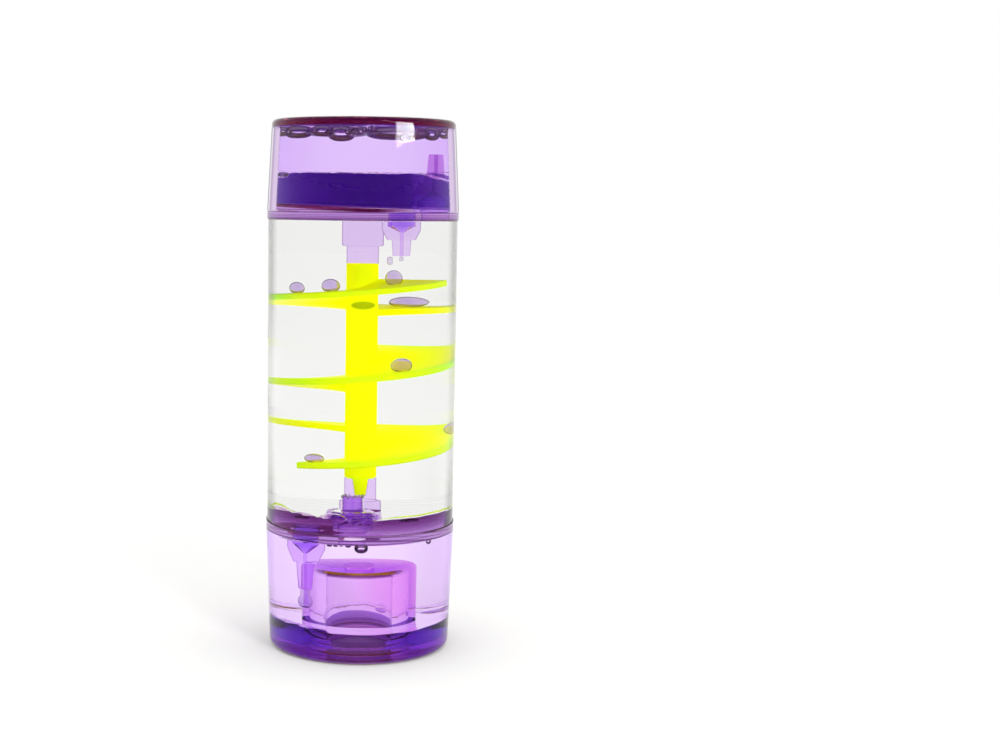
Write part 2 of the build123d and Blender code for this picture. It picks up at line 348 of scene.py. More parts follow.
def cup_wine(finish, distance, height, wall):
    """Wine coloured where the light runs along the lid, and in a slanting streak at the seat."""
    rim = lid_rim(distance, height)
    slope = 0.04
    half_width = 0.00045
    level = height + finish.across * slope - (cup_low.z + 0.00055)
    streak = level.band(-half_width, half_width, 0.00012)
    streak = streak * (1 - finish.across.rise(0.003, 0.009))
    return finish.between(rim, finish.between(streak, wall, dark_wine), wine)


def cup_skin(finish, facing, distance, height):
    wall = skin_with_painted_edge_shade([(0.0, (0.96, 0.9, 1.0)), (0.6, (0.93, 0.84, 1.0)), (0.85, (0.5, 0.3, 0.6))])
    return cup_wine(finish, distance, height, wall(finish, facing, distance, height))


def cup_core(finish, facing, distance, height):
    return cup_wine(finish, distance, height, cup_tint(finish, facing, distance, height))


def base_skin(finish, facing, distance, height):
    """Lilac wall that turns wine coloured at the thick foot, with painted shade as a dark line in
    the corner under the hollow's roof.
    """
    wall = skin_with_painted_edge_shade([(0.0, (0.985, 0.95, 1.0)), (0.6, (0.96, 0.9, 1.0)),
                      (0.74, (0.66, 0.54, 0.78)), (0.9, (0.6, 0.5, 0.7))])
    foot = 1 - height.rise(0.0012, 0.0058)
    # Painted shade: a dark line in the corner under the hollow's roof.
    painted_corner_shade = (
        distance.band(hollow_bore - 0.001, hollow_bore + 0.0003, 0.0002)
        * height.rise(hollow_ceiling - 0.0016, hollow_ceiling - 0.0012)
    )
    tone = finish.between(painted_corner_shade, wall(finish, facing, distance, height), (0.3, 0.12, 0.34, 1.0))
    return finish.between(foot, tone, (0.46, 0.27, 0.34, 1.0))


def plate_skin(finish, facing, distance, height):
    """Rim of a plate, with the fine lines of its seat."""
    wall = skin_with_painted_edge_shade([(0.0, (0.96, 0.92, 0.82)), (0.6, (0.9, 0.8, 0.76)),
                      (0.85, (0.45, 0.34, 0.4))])
    step = tube_high.z
    inset = shell_low.z - step
    upper = height.above(step - joint_edge)
    share = (height - upper * step - (1 - upper) * base_high.z) / inset
    lines = (1 - share.rise(0.1, 0.22)) + share.band(0.42, 0.52, 0.04) + share.rise(0.82, 0.92)
    return finish.between(
        lines * 0.9, wall(finish, facing, distance, height), (0.16, 0.05, 0.14, 1.0)
    )


def sleeve_edge(finish, facing, height, outer):
    """Lavender see-through sides of the sleeve below its lid, with painted shade as two dark lines
    and a paler painted line between them.
    """
    # Painted shade in the dark stops and a paler painted line between them on the glancing sides.
    band = skin_with_painted_edge_shade([(0.0, (0.8, 0.64, 0.88)), (0.66, (0.74, 0.6, 0.82)), (0.76, (0.5, 0.4, 0.56)),
                      (0.82, (0.88, 0.85, 0.9)), (0.9, (0.45, 0.42, 0.47))])
    under_lid = 1 - height.rise(cup_ceiling - 0.0006, cup_ceiling)
    share = facing.rise(0.555, 0.6) * under_lid
    side = finish.clear_shader(band(finish, facing, None, height), 0.0, 1.0, 1.0)
    return share, outer, side


def liquid(name, tint, loss, rim, milk=0.0):
    """Dyed water in oil. Rim gives the stops of colour from straight on to glancing, whose dark
    glancing end is painted shade, and milk how much of the light it scatters."""
    finish = new_finish(name)
    place, distance, height = finish.spot()
    facing = finish.add("ShaderNodeLayerWeight", None, {"Blend": 0.5})["Facing"]
    flow = finish.noise(place, 260.0, 2.0)
    edge = finish.add("ShaderNodeValToRGB", {"stops": rim}, {"Fac": facing})["Color"]
    tone = finish.between(flow * 0.1, edge, tint)
    surface = finish.clear_shader(tone, flow * 0.01, into_dye, 1.0, finish.bump(flow, 0.0001))
    if milk > 0:
        cloudy = finish.add(
            "ShaderNodeBsdfPrincipled",
            None,
            {"Base Color": finish.between(facing.rise(0.55, 0.75), (0.82, 0.68, 1.0, 1.0), tint),
             "Roughness": flow * 0.2 + 0.3, "IOR": 1.02},
        )["BSDF"]
        surface = finish.mix_shaders(milk, surface, cloudy)
    return finish.close(surface, finish.absorb(loss))


def bubble_finish():
    """Air in oil, with painted shade where its skin turns away."""
    finish = new_finish("air_bubble")
    place, distance, height = finish.spot()
    facing = finish.add("ShaderNodeLayerWeight", None, {"Blend": 0.5})["Facing"]
    flow = finish.noise(place, 400.0, 1.0)
    clear = finish.clear_shader(
        finish.between(flow * 0.2, white, (0.9, 0.8, 1.0, 1.0)), flow * 0.01, into_bubble, 1.0,
        finish.bump(flow, 0.00005),
    )
    dark = finish.add(
        "ShaderNodeBsdfPrincipled",
        None,
        {"Base Color": (0.15, 0.07, 0.19, 1.0), "Roughness": flow * 0.2 + 0.2, "IOR": 1.05},
    )["BSDF"]
    # Painted shade on the bubble's sides, where its skin turns away from the view.
    shadow = facing.rise(0.12, 0.4) * (1 - facing.rise(0.86, 0.98)) * 0.8
    return finish.close(finish.mix_shaders(shadow, clear, dark))


def ramp_finish_painted_glow():
    """Fluorescent yellow plastic with a painted glow, greener towards its rim and brighter at the
    pin in its foot, and a painted shadow of a drop on its column.
    """
    finish = new_finish("ramp_yellow_painted_glow")
    place, distance, height = finish.spot()
    cloud = finish.noise(place, 120.0, 3.0)
    far = finish.noise(place, 32.0, 1.0)
    # Painted glow: greener towards the rim of the flights.
    rim = distance.rise(ramp_high.x * 0.84, ramp_high.x * 0.995)
    inner = finish.between(cloud.rise(0.4, 0.75), (0.96, 1.0, 0.0, 1.0), (0.82, 1.0, 0.0, 1.0))
    lime = finish.between(far.rise(0.42, 0.66), (0.76, 1.0, 0.004, 1.0), (0.5, 1.0, 0.012, 1.0))
    tone = finish.between(rim * 0.9, inner, lime)
    front = 1 - finish.behind.above(0.0)
    pin = (
        finish.across.band(*pin_sides, 0.0001)
        * height.band(ramp_high.z - pin_depths[0], ramp_high.z - pin_depths[1], 0.0002)
    )
    # Painted shadow of a drop, an oval on the front of the column.
    sideways = (finish.across - shadow_place[0]) / shadow_reach[0]
    upright = (height - (ramp_high.z - shadow_place[1])) / shadow_reach[1]
    drop = 1 - (sideways * sideways + upright * upright).rise(0.55, 1.0)
    tone = finish.between(pin * front * 0.5, tone, (0.75, 0.84, 0.0, 1.0))
    tone = finish.between(drop * front * 0.88, tone, (0.28, 0.33, 0.0, 1.0))
    # Painted glow that stands in for fluorescence, boosted at the pin in the ramp's foot.
    pin_top = ramp_low.z + ramp_pin_length
    foot = 1 - height.rise(pin_top - 0.0002, pin_top + 0.0002)
    surface = finish.add(
        "ShaderNodeBsdfPrincipled",
        None,
        {
            "Base Color": tone,
            "Roughness": cloud * 0.1 + 0.12,
            "IOR": 1.01,
            "Emission Color": finish.between(foot, tone, (1.3, 2.6, 0.0, 1.0)),
            "Emission Strength": 0.36,
            "Normal": finish.bump(cloud, 0.00006),
        },
    )["BSDF"]
    return finish.close(surface)


# Inner surfaces from straight on to glancing; the darker glancing stops are painted shade on the
# edges.
clear_core = skin_with_painted_edge_shade([(0.0, (0.95, 0.95, 0.945)), (0.8, (0.92, 0.92, 0.91)),
                        (0.97, (0.7, 0.7, 0.7))])
top_core = skin_with_painted_edge_shade([(0.0, (1.0, 1.0, 1.0)), (0.8, (0.97, 0.96, 0.98))])
tinted_core = skin_with_painted_edge_shade([(0.0, (0.98, 0.94, 1.0)), (0.6, (0.94, 0.85, 1.0)),
                         (0.88, (0.5, 0.3, 0.62))])
boss_tint = skin_with_painted_edge_shade([(0.0, (0.89, 0.74, 1.0)), (0.6, (0.83, 0.66, 1.0)),
                       (0.86, (0.42, 0.22, 0.5))])
cup_tint = skin_with_painted_edge_shade([(0.0, (0.93, 0.845, 1.0)), (0.6, (0.89, 0.77, 1.0)),
                      (0.88, (0.5, 0.3, 0.62))])


def plate_core(finish, facing, distance, height):
    """Bosses and nozzles, darker where the long nozzle stands in the upper pool."""
    spout = height.rise(shell_low.z + 0.003, shell_low.z + 0.0045)
    tint = boss_tint(finish, facing, distance, height)
    return finish.between(spout, tint, (0.72, 0.42, 0.8, 1.0))


def base_core(finish, facing, distance, height):
    """Lilac inside of the base, pinker round its hollow and most of all at the right."""
    near = 1 - distance.rise(hollow_radius + 0.0004, hollow_radius + 0.0012)
    pink = near * (finish.across.rise(-0.006, 0.0095) * 0.7 + 0.3) * height.rise(0.006, 0.012)
    wall = tinted_core(finish, facing, distance, height)
    return finish.between(pink, wall, (0.98, 0.6, 0.93, 1.0))


clear_wall = plastic(
    "clear_wall", marked_air, tube_skin_painted_edge_shade, clear_core, (0.9, 0.8, 1.2), 0.15, 0.0001
)
clear_top = plastic(
    "clear_top",
    marked_air,
    skin_with_painted_edge_shade([(0.0, (0.99, 0.98, 1.0)), (0.6, (0.97, 0.95, 0.98)), (0.86, (0.3, 0.24, 0.32))]),
    top_core,
    (1.0, 2.0, 0.5),
    0.15,
    0.0001,
    sleeve_edge,
)
tinted_base = plastic(
    "tinted_base",
    marked_air,
    base_skin,
    base_core,
    (32.0, 74.0, 6.0),
    0.15,
    0.00025,
)
tinted_plug = plastic(
    "tinted_plug",
    plug_air,
    skin_with_painted_edge_shade([(0.0, (0.985, 0.95, 1.0)), (0.8, (0.9, 0.8, 1.0))]),
    tinted_core,
    (24.0, 60.0, 6.0),
    0.2,
    0.0001,
)
tinted_plate = plastic(
    "tinted_plate",
    rim_air,
    plate_skin,
    plate_core,
    (14.0, 27.0, 4.0),
    0.3,
    0.00004,
)
tinted_cup = plastic(
    "tinted_cup", marked_air, cup_skin, cup_core, (50.0, 105.0, 10.0), 0.15, 0.00015
)
# Liquid colours from straight on to glancing; the dark glancing stops are painted shade on the
# rims.
pool_rim_painted_shade = [(0.0, (1.0, 0.98, 1.0)), (0.75, (0.9, 0.82, 1.0)), (0.95, (0.45, 0.3, 0.55))]
drop_rim_painted_shade = [(0.0, (1.0, 0.97, 1.0)), (0.58, (0.95, 0.9, 1.0)), (0.74, (0.12, 0.08, 0.14))]
dye_pool = liquid("dye_pool", (0.96, 0.94, 1.0, 1.0), (74.0, 128.0, 40.0), pool_rim_painted_shade)
dye_plate = liquid("dye_plate", (0.98, 0.9, 0.96, 1.0), (52.0, 104.0, 52.0), pool_rim_painted_shade)
dye_base = liquid("dye_base", (0.98, 0.95, 1.0, 1.0), (62.0, 96.0, 27.0), pool_rim_painted_shade)
dye_well = liquid("dye_well", (0.9, 0.85, 1.0, 1.0), (110.0, 180.0, 10.0), pool_rim_painted_shade)
dye_wine = liquid("dye_wine", (0.5, 0.2, 0.3, 1.0), (60.0, 150.0, 70.0),
                  [(0.0, (0.6, 0.3, 0.45)), (0.8, (0.4, 0.15, 0.25))])
film_rim_painted_shade = [(0.0, (0.88, 0.76, 0.97)), (0.55, (0.78, 0.6, 0.9)), (0.8, (0.25, 0.12, 0.32))]
dye_film = liquid("dye_film", (0.8, 0.62, 0.92, 1.0), (40.0, 80.0, 12.0), film_rim_painted_shade)
dye_drop = liquid("dye_drop", (0.2, 0.13, 0.24, 1.0), (70.0, 125.0, 5.0), drop_rim_painted_shade, 0.16)
air_bubble = bubble_finish()
ramp_yellow_painted_glow = ramp_finish_painted_glow()


def painted_glow_line_finish():
    """Thin line of oil with a painted glow in the ramp's yellow green."""
    finish = new_finish("lime_line_painted_glow")
    place, distance, height = finish.spot()
    cloud = finish.noise(place, 200.0, 2.0)
    tone = finish.between(cloud.rise(0.4, 0.7), (0.72, 0.86, 0.06, 1.0), (0.38, 0.66, 0.04, 1.0))
    # Painted glow: the line gives off the ramp's yellow green as light.
    surface = finish.add(
        "ShaderNodeBsdfPrincipled",
        None,
        {"Base Color": tone, "Roughness": cloud * 0.1 + 0.1, "Emission Color": tone,
         "Emission Strength": 0.3},
    )["BSDF"]
    return finish.close(surface)


lime_line_painted_glow = painted_glow_line_finish()


# Turned pieces
def rounded(corners):
    """Outline with each corner's fillet as an arc. A corner is its distance, height and fillet,
    and 1 where the wall after it meets air; points come back with that mark."""
    points = []
    for index, (distance, height, fillet, air) in enumerate(corners):
        if fillet == 0:
            points.append((distance, height, air))
            continue
        here = Vector((distance, height))
        before = Vector(corners[index - 1][:2]) - here
        after = Vector(corners[(index + 1) % len(corners)][:2]) - here
        before.normalize()
        after.normalize()
        half = before.angle(after) / 2
        centre = here + (before + after).normalized() * (fillet / sin(half))
        start = here + before * (fillet / tan(half)) - centre
        end = here + after * (fillet / tan(half)) - centre
        sweep = start.angle(end)
        for step in range(corner_steps + 1):
            share = step / corner_steps
            spread = sin(sweep)
            point = centre + (
                start * sin((1 - share) * sweep) + end * sin(share * sweep)
            ) / spread
            last = step == corner_steps
            mark = air if last else max(air, corners[index - 1][3])
            points.append((point.x, point.y, mark))
    return points


def turn(mesh, outline, segments, centre=(0.0, 0.0)):
    """Adds to a bmesh what turns from a closed outline of (distance, height, air) points."""
    air = mesh.faces.layers.float.get("air") or mesh.faces.layers.float.new("air")
    rings = []
    for distance, height, mark in outline:
        if distance < 1e-9:
            rings.append([mesh.verts.new((centre[0], centre[1], height))])
            continue
        ring = []
        for step in range(segments):
            angle = 2 * pi * step / segments
            x = centre[0] + distance * cos(angle)
            y = centre[1] + distance * sin(angle)
            ring.append(mesh.verts.new((x, y, height)))
        rings.append(ring)
    for index, ring in enumerate(rings):
        following = rings[(index + 1) % len(rings)]
        if len(ring) == 1 and len(following) == 1:
            continue
        for step in range(segments):
            corners = [
                ring[step % len(ring)],
                ring[(step + 1) % len(ring)],
                following[(step + 1) % len(following)],
                following[step % len(following)],
            ]
            face = mesh.faces.new(list(dict.fromkeys(corners)))
            face[air] = outline[index][2]


def piece(name, mesh, finish, body, replaced=(), sharp=32.0):
    """Turns a bmesh into a finished piece that rides on a body."""
    bmesh.ops.recalc_face_normals(mesh, faces=mesh.faces)
    data = bpy.data.meshes.new(name)
    mesh.to_mesh(data)
    mesh.free()
    data.shade_smooth()
    data.set_sharp_from_angle(angle=radians(sharp))
    data.materials.append(finish)
    made = bpy.data.objects.new(name, data)
    bpy.context.scene.collection.objects.link(made)
    if replaced:
        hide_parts(*replaced)
    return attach(made, body)


def steadied(outline):
    """Adds a point near both ends of each long wall, so that the wall shades as straight."""
    points = []
    for here, there in zip(outline, outline[1:] + outline[:1]):
        points.append(here)
        length = hypot(there[0] - here[0], there[1] - here[1])
        if length > 0.0012:
            for share in (0.0002 / length, 1 - 0.0002 / length):
                points.append((
                    here[0] + (there[0] - here[0]) * share,
                    here[1] + (there[1] - here[1]) * share,
                    here[2],
                ))
    return points


def turned_piece(name, corners, finish, replaced):
    mesh = bmesh.new()
    turn(mesh, steadied(rounded(corners)), case_segments)
    return piece(name, mesh, finish, "case", replaced)


turned_piece(
    "clear_tube",
    [
        (tube_radius, tube_low.z + joint_gap, joint_edge, 1),
        (tube_radius, tube_high.z - joint_gap, joint_edge, 0),
        (tube_bore, tube_high.z - joint_gap, 0, 0),
        (tube_bore, tube_low.z + joint_gap, 0, 0),
    ],
    clear_wall,
    ["tube"],
)

plug_hole = plug_radius + plug_gap
wall_slope = (joint_radius - foot_radius) / base_high.z
turned_piece(
    "tinted_base_cup",
    [
        (plug_hole, hollow_ceiling, 0, 1),
        (hollow_bore, hollow_ceiling, hollow_corner, 1),
        (hollow_bore, 0.0, 0.0004, 1),
        (foot_radius, 0.0, base_corner, 1),
        (joint_radius, base_high.z - joint_gap, joint_edge, 0),
        (joint_radius - base_wall, base_high.z - joint_gap, 0, 0),
        (foot_radius + wall_slope * base_floor - base_wall, base_floor, inner_corner, 0),
        (hollow_radius, base_floor, inner_corner, 0),
        (hollow_radius, hollow_top, hollow_corner, 0),
        (plug_hole, hollow_top, 0, 0),
    ],
    tinted_base,
    ["base_cup"],
)

turned_piece(
    "clear_top_sleeve",
    [
        (joint_radius, shell_low.z + joint_gap, joint_edge, 1),
        (crown_radius, shell_high.z, shell_corner, 1),
        (crown_radius - shell_wall, shell_high.z, 0, 0),
        (joint_radius - shell_wall, shell_low.z + joint_gap, 0, 0),
    ],
    clear_top,
    ["top_shell"],
)

turned_piece(
    "tinted_top_cup",
    [
        (0.0, cup_high.z, 0, 1),
        (lid_radius, cup_high.z, lid_edge, 0),
        (lid_radius, cup_ceiling, 0, 0),
        (cup_roof_radius, cup_ceiling, 0, 0),
        (cup_mouth_radius, cup_low.z + joint_gap, 0, 0),
        (cup_mouth_radius - cup_wall, cup_low.z + joint_gap, 0, 0),
        (cup_roof_radius - cup_wall, cup_ceiling, inner_corner, 0),
        (0.0, cup_ceiling, 0, 0),
    ],
    tinted_cup,
    ["top_cup"],
)


# Pools of dyed water
def cylinder_cut(target, cuts):
    """Cuts upright cylinders of (x, y, radius) out of a piece."""
    mesh = bmesh.new()
    for x, y, radius in cuts:
        turn(mesh, [(0, -1, 0), (radius, -1, 0), (radius, 1, 0), (0, 1, 0)], 96, (x, y))
    bmesh.ops.recalc_face_normals(mesh, faces=mesh.faces)
    data = bpy.data.meshes.new("cutter")
    mesh.to_mesh(data)
    mesh.free()
    cutter = bpy.data.objects.new("cutter", data)
    bpy.context.scene.collection.objects.link(cutter)
    change = target.modifiers.new("cut", "BOOLEAN")
    change.operation = "DIFFERENCE"
    change.solver = "EXACT"
    change.object = cutter
    graph = bpy.context.evaluated_depsgraph_get()
    cut = bpy.data.meshes.new_from_object(target.evaluated_get(graph))
    target.modifiers.clear()
    target.data = cut
    bpy.data.objects.remove(cutter)


def level_floor(x):
    return 0.0


def pool(name, node, dye, low_radius, high_radius, inner_radius, swell, cuts, lift=level_floor):
    """Dyed water over a pool's space, with an uneven surface and a floor that may slant."""
    low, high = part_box(node)
    floor = low.z + liquid_gap
    sides = 5
    rings = 90
    outline = [(inner_radius, floor, 0)]
    outline += [
        (low_radius + (high_radius - low_radius) * step / sides,
         floor + (high.z - floor) * step / sides, 0)
        for step in range(sides + 1)
    ]
    outline += [
        (high_radius + (inner_radius - high_radius) * step / rings, high.z, 1)
        for step in range(1, rings + 1)
    ]
    mesh = bmesh.new()
    turn(mesh, outline, case_segments)
    for vertex in mesh.verts:
        share = (vertex.co.z - floor) / (high.z - floor)
        vertex.co.z += lift(vertex.co.x) * (1 - share)
        if share > 0.01:
            vertex.co.z += swell(vertex.co.x, vertex.co.y) * share
    made = piece(name, mesh, dye, "case", [node], 50.0)
    if cuts:
        cylinder_cut(made, cuts)
    return made


def creep(x, y, edge, rise, reach):
    """How far the liquid climbs a round wall."""
    return rise * smooth_step(edge - reach, edge, hypot(x, y))


lower_nozzle_tip = tube_low.z + short_nozzle_height
upper_long_hole = (*upper_long, nozzle_cup_radius + nozzle_clearance)
lower_short_hole = (*lower_short, nozzle_cup_radius + nozzle_clearance)

cup_taper = (cup_mouth_radius - cup_roof_radius) / (cup_ceiling - cup_low.z)
upper_pool_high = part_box("upper_pool")[1]
upper_pool_edge = cup_mouth_radius - cup_wall - liquid_gap
upper_pool_rim = upper_pool_edge - cup_taper * (upper_pool_high.z - cup_low.z)


def upper_swell(x, y):
    lump = noise.noise(Vector((x * 160.0, y * 160.0, 3.1))) * 0.00035
    crumbs = noise.noise(Vector((x * 700.0, y * 700.0, 8.2))) * 0.00022
    left = smooth_step(-0.0168, -0.0182, x) * -0.0011
    right = smooth_step(0.011, 0.0225, x) * -0.0022
    return lump + crumbs + left + right + 0.0003


def upper_lift(x):
    return 0.0011 - 0.03 * x


pool(
    "upper_dye", "upper_pool", dye_pool, upper_pool_edge, upper_pool_rim, 0.0, upper_swell,
    [upper_long_hole], upper_lift,
)

middle_pool_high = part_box("middle_pool")[1]
# Lumps of a pool's surface: x, y, radius and rise
middle_lumps = [
    (-0.0185, -0.0112, 0.0052, 0.0016),
    (-0.0132, -0.0172, 0.0044, 0.0014),
    (-0.0066, -0.0205, 0.004, 0.0019),
    (0.0165, -0.0145, 0.009, 0.0005),
    (0.0105, -0.0195, 0.0075, 0.0005),
]


def highest_lump(lumps, x, y):
    height = 0.0
    for lump_x, lump_y, radius, rise in lumps:
        away = hypot(x - lump_x, y - lump_y) / radius
        if away < 1:
            height = max(height, rise * sqrt(1 - away * away))
    return height


def middle_swell(x, y):
    height = highest_lump(middle_lumps, x, y)
    gap = smooth_step(0.0034, 0.0018, hypot(x - 0.0005, y + 0.0215)) * -0.0012
    front = smooth_step(0.002, -0.004, y)
    ripple = noise.noise(Vector((x * 300.0, y * 300.0, 1.7))) * (0.00003 + 0.00009 * front)
    return height + gap + ripple + front * creep(x, y, tube_bore, 0.0003, 0.0012)


pool(
    "middle_dye", "middle_pool", dye_plate, tube_bore - liquid_gap, tube_bore - liquid_gap,
    boss_radius + liquid_gap, middle_swell, [lower_short_hole],
)

lower_pool_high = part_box("lower_pool")[1]
base_inner = foot_radius - base_wall - liquid_gap
lower_lumps = [
    (-0.0172, -0.0135, 0.0046, 0.0013),
    (-0.0112, -0.0185, 0.0042, 0.0011),
    (-0.0205, -0.0068, 0.0036, 0.001),
    (0.0125, 0.0145, 0.0045, 0.0008),
]


def lower_swell(x, y):
    ripple = noise.noise(Vector((x * 140.0, y * 140.0, 5.3))) * 0.0003
    height = highest_lump(lower_lumps, x, y)
    return ripple + height + creep(x, y, base_inner, 0.0005, 0.0015)


pool(
    "lower_dye", "lower_pool", dye_base, base_inner + wall_slope * base_floor - 0.0003,
    base_inner + wall_slope * lower_pool_high.z, hollow_radius + liquid_gap, lower_swell, [],
)


# Yellow green line of painted glow where the pool on the plate climbs the tube, at the left and at
# the right
meniscus = bmesh.new()
meniscus_steps = 110
meniscus_arcs = ((-104.0, -44.0), (10.0, 104.0))
meniscus_taper = 16.0
near_wall = 0.0228
reach = tube_bore - liquid_gap
for start, end in meniscus_arcs:
    rings = []
    for step in range(meniscus_steps + 1):
        turned = start + (end - start) * step / meniscus_steps
        angle = radians(turned)
        x, y = sin(angle), -cos(angle)
        ends = smooth_step(start, start + meniscus_taper, turned)
        ends *= smooth_step(end, end - meniscus_taper, turned)
        thick = (0.00034 + 0.0005 * abs(x) ** 6 * (1 if x < 0 else 0.6)) * (0.08 + 0.92 * ends)
        top = middle_pool_high.z + 0.0003 + middle_swell(x * near_wall, y * near_wall)
        rings.append([
            meniscus.verts.new((x * distance, y * distance, height))
            for distance, height in (
                (reach - thick * 0.6, top), (reach, top), (reach, top + thick),
                (reach - 0.0001, top + thick)
            )
        ])
    for here, there in zip(rings, rings[1:]):
        for corner in range(4):
            after = (corner + 1) % 4
            meniscus.faces.new((here[corner], there[corner], there[after], here[after]))
    for end_ring in (rings[0], rings[-1]):
        meniscus.faces.new(end_ring)
piece("meniscus_painted_glow", meniscus, lime_line_painted_glow, "case")

# Dye that climbs the short nozzle of the lower plate
film = bmesh.new()
film_segments = 96
round_cup = 0.00446
round_spout = 0.00224
nozzle_root = middle_pool_high.z + 0.0002
cup_top = tube_low.z + 0.00495
turn(
    film,
    [(round_cup, nozzle_root, 0), (0.0051, nozzle_root, 0), (0.00515, nozzle_root + 0.0006, 0),
     (0.00495, cup_top, 0), (0.0045, cup_top + 0.0003, 0), (0.00275, cup_top + 0.00035, 0),
     (0.0025, cup_top + 0.0009, 0), (0.00242, cup_top + 0.0037, 0),
     (round_spout, cup_top + 0.0041, 0), (round_spout, cup_top + 0.00005, 0),
     (round_cup, cup_top + 0.00005, 0)],
    film_segments,
    lower_short,
)
piece("nozzle_dye", film, dye_film, "case")

# Dye that clings under the lower plate round its long nozzle
cling = bmesh.new()
under_plate = base_high.z - liquid_gap
turn(
    cling,
    [(round_cup, under_plate, 0), (0.0089, under_plate, 0), (0.0088, under_plate - 0.0006, 0),
     (0.0075, under_plate - 0.0012, 0), (round_cup, under_plate - 0.0015, 0)],
    film_segments,
    lower_long,
)
piece("clinging_dye", cling, dye_wine, "case")


# Drops
def drop_outline(width, low, height):
    """Round drop that stands on a flat patch."""
    points = [(0.0, low, 0)]
    steps = 21
    foot_angle = 53.0
    middle_share = 0.42
    middle = low + height * middle_share
    for step in range(steps + 1):
        angle = radians(-foot_angle + (foot_angle + 90.0) * step / steps)
        reach = height * 0.58 if angle > 0 else height * middle_share / sin(radians(foot_angle))
        distance = width / 2 * cos(angle) if step < steps else 0.0
        points.append((distance, middle + reach * sin(angle), 0))
    return points


drop_bodies = {
    "landed_drop": "ramp_drops",
    "top_front_drop": "ramp_drops",
    "top_left_drop": "ramp_drops",
    "middle_front_drop": "ramp_drops",
    "bottom_right_drop": "ramp_drops",
    "top_back_drop": "top_run_off_drops",
    "top_end_drop": "top_run_off_drops",
    "bottom_end_drop": "bottom_run_off_drop",
}
for node, body in drop_bodies.items():
    low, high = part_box(node)
    middle = (low + high) / 2
    mesh = bmesh.new()
    turn(
        mesh, drop_outline(high.x - low.x, low.z, high.z - low.z), drop_segments,
        (middle.x, middle.y),
    )
    piece("dyed_" + node, mesh, dye_drop, body, [node])


# Air bubbles
def bubble_outline(radius, roof, depth):
    """Bubble that lies flat against a roof, or a ball where its depth is twice its radius."""
    points = []
    steps = 20
    fullness = min(1.0, 0.45 + 0.55 * depth / (2 * radius))
    for step in range(steps + 1):
        angle = pi * step / steps
        distance = radius * sin(angle) ** fullness if 0 < step < steps else 0.0
        points.append((distance, roof - depth * (1 - cos(angle)) / 2, 0))
    return points


def bubbles(name, list_of_bubbles):
    """Bubbles by their x, y, roof, radius and depth, as one piece."""
    mesh = bmesh.new()
    for x, y, roof, radius, depth in list_of_bubbles:
        turn(mesh, bubble_outline(radius, roof, depth), drop_segments, (x, y))
    piece(name, mesh, air_bubble, "case", (), 60.0)


under_roof = cup_ceiling - liquid_gap
roof_bubbles = [
    (-0.0141, -0.0075, under_roof, 0.0036, 0.0034),
    (-0.0092, -0.0125, under_roof, 0.0026, 0.003),
    (-0.0048, -0.0115, under_roof, 0.0032, 0.0042),
    (0.0072, -0.0095, under_roof, 0.0071, 0.0038),
    (0.0096, -0.0186, under_roof - 0.0019, 0.0011, 0.0022),
    (0.0152, -0.0098, under_roof, 0.0024, 0.0036),
    (0.0176, -0.0052, under_roof, 0.0021, 0.003),
    (0.0165, 0.003, under_roof, 0.003, 0.0026),
    (-0.004, 0.010, under_roof, 0.0052, 0.003),
    (0.0095, 0.0125, under_roof, 0.0036, 0.0026),
    (-0.0135, 0.0085, under_roof, 0.0038, 0.0028),
]
small_bubbles = 34
for index in range(small_bubbles):
    spread = random.uniform(-1.0, 1.0)
    size = random.uniform(0.0003, 0.0009)
    angle = pi * index / small_bubbles * 2
    ring = 0.0198 - random.uniform(0.0, 0.0016)
    froth = (-0.0004 + 0.0034 * spread, -0.0155 + random.uniform(-0.0016, 0.0016))
    beads = (ring * cos(angle), ring * sin(angle))
    x, y = froth if index % 2 else beads
    roof_bubbles.append((x, y, under_roof - random.uniform(0.0, 0.0012), size, size * 1.9))
bubbles("roof_bubbles", roof_bubbles)

plate_roof = base_high.z - liquid_gap
plate_bubbles = [
    (0.0004, -0.0212, plate_roof, 0.0017, 0.0026),
    (-0.0028, -0.0214, plate_roof, 0.0008, 0.0011),
    (-0.0045, -0.0213, plate_roof, 0.0006, 0.0009),
    (-0.0059, -0.0212, plate_roof, 0.0007, 0.001),
    (-0.0074, -0.0205, plate_roof, 0.0008, 0.0011),
    (0.0168, -0.0138, plate_roof, 0.0008, 0.0016),
    (0.008, 0.012, plate_roof, 0.0016, 0.0016),
    (-0.009, 0.014, plate_roof, 0.0012, 0.0013),
]
bubbles("plate_bubbles", plate_bubbles)

golden_angle = 2.399963
spout_radius = 0.0024
nozzle_froth = []
for index in range(15):
    angle = index * golden_angle
    size = random.uniform(0.00016, 0.00032)
    nozzle_froth.append((
        lower_short[0] + spout_radius * cos(angle), lower_short[1] + spout_radius * sin(angle),
        lower_nozzle_tip + random.uniform(0.0, 0.0005), size, size * 2
    ))
bubbles("nozzle_froth", nozzle_froth)

# Dyed beads heaped round the foot of the short nozzle
heap = bmesh.new()
for index in range(19):
    angle = index * golden_angle
    size = random.uniform(0.0008, 0.0013)
    ring = (0.0058, 0.0049)[index % 2]
    top = middle_pool_high.z + (0.0008, 0.0018)[index % 2] + random.uniform(0.0, 0.0004)
    turn(
        heap, bubble_outline(size, top, size * 1.7), drop_segments,
        (lower_short[0] + ring * cos(angle), lower_short[1] + ring * sin(angle)),
    )
piece("nozzle_beads", heap, dye_film, "case", (), 60.0)

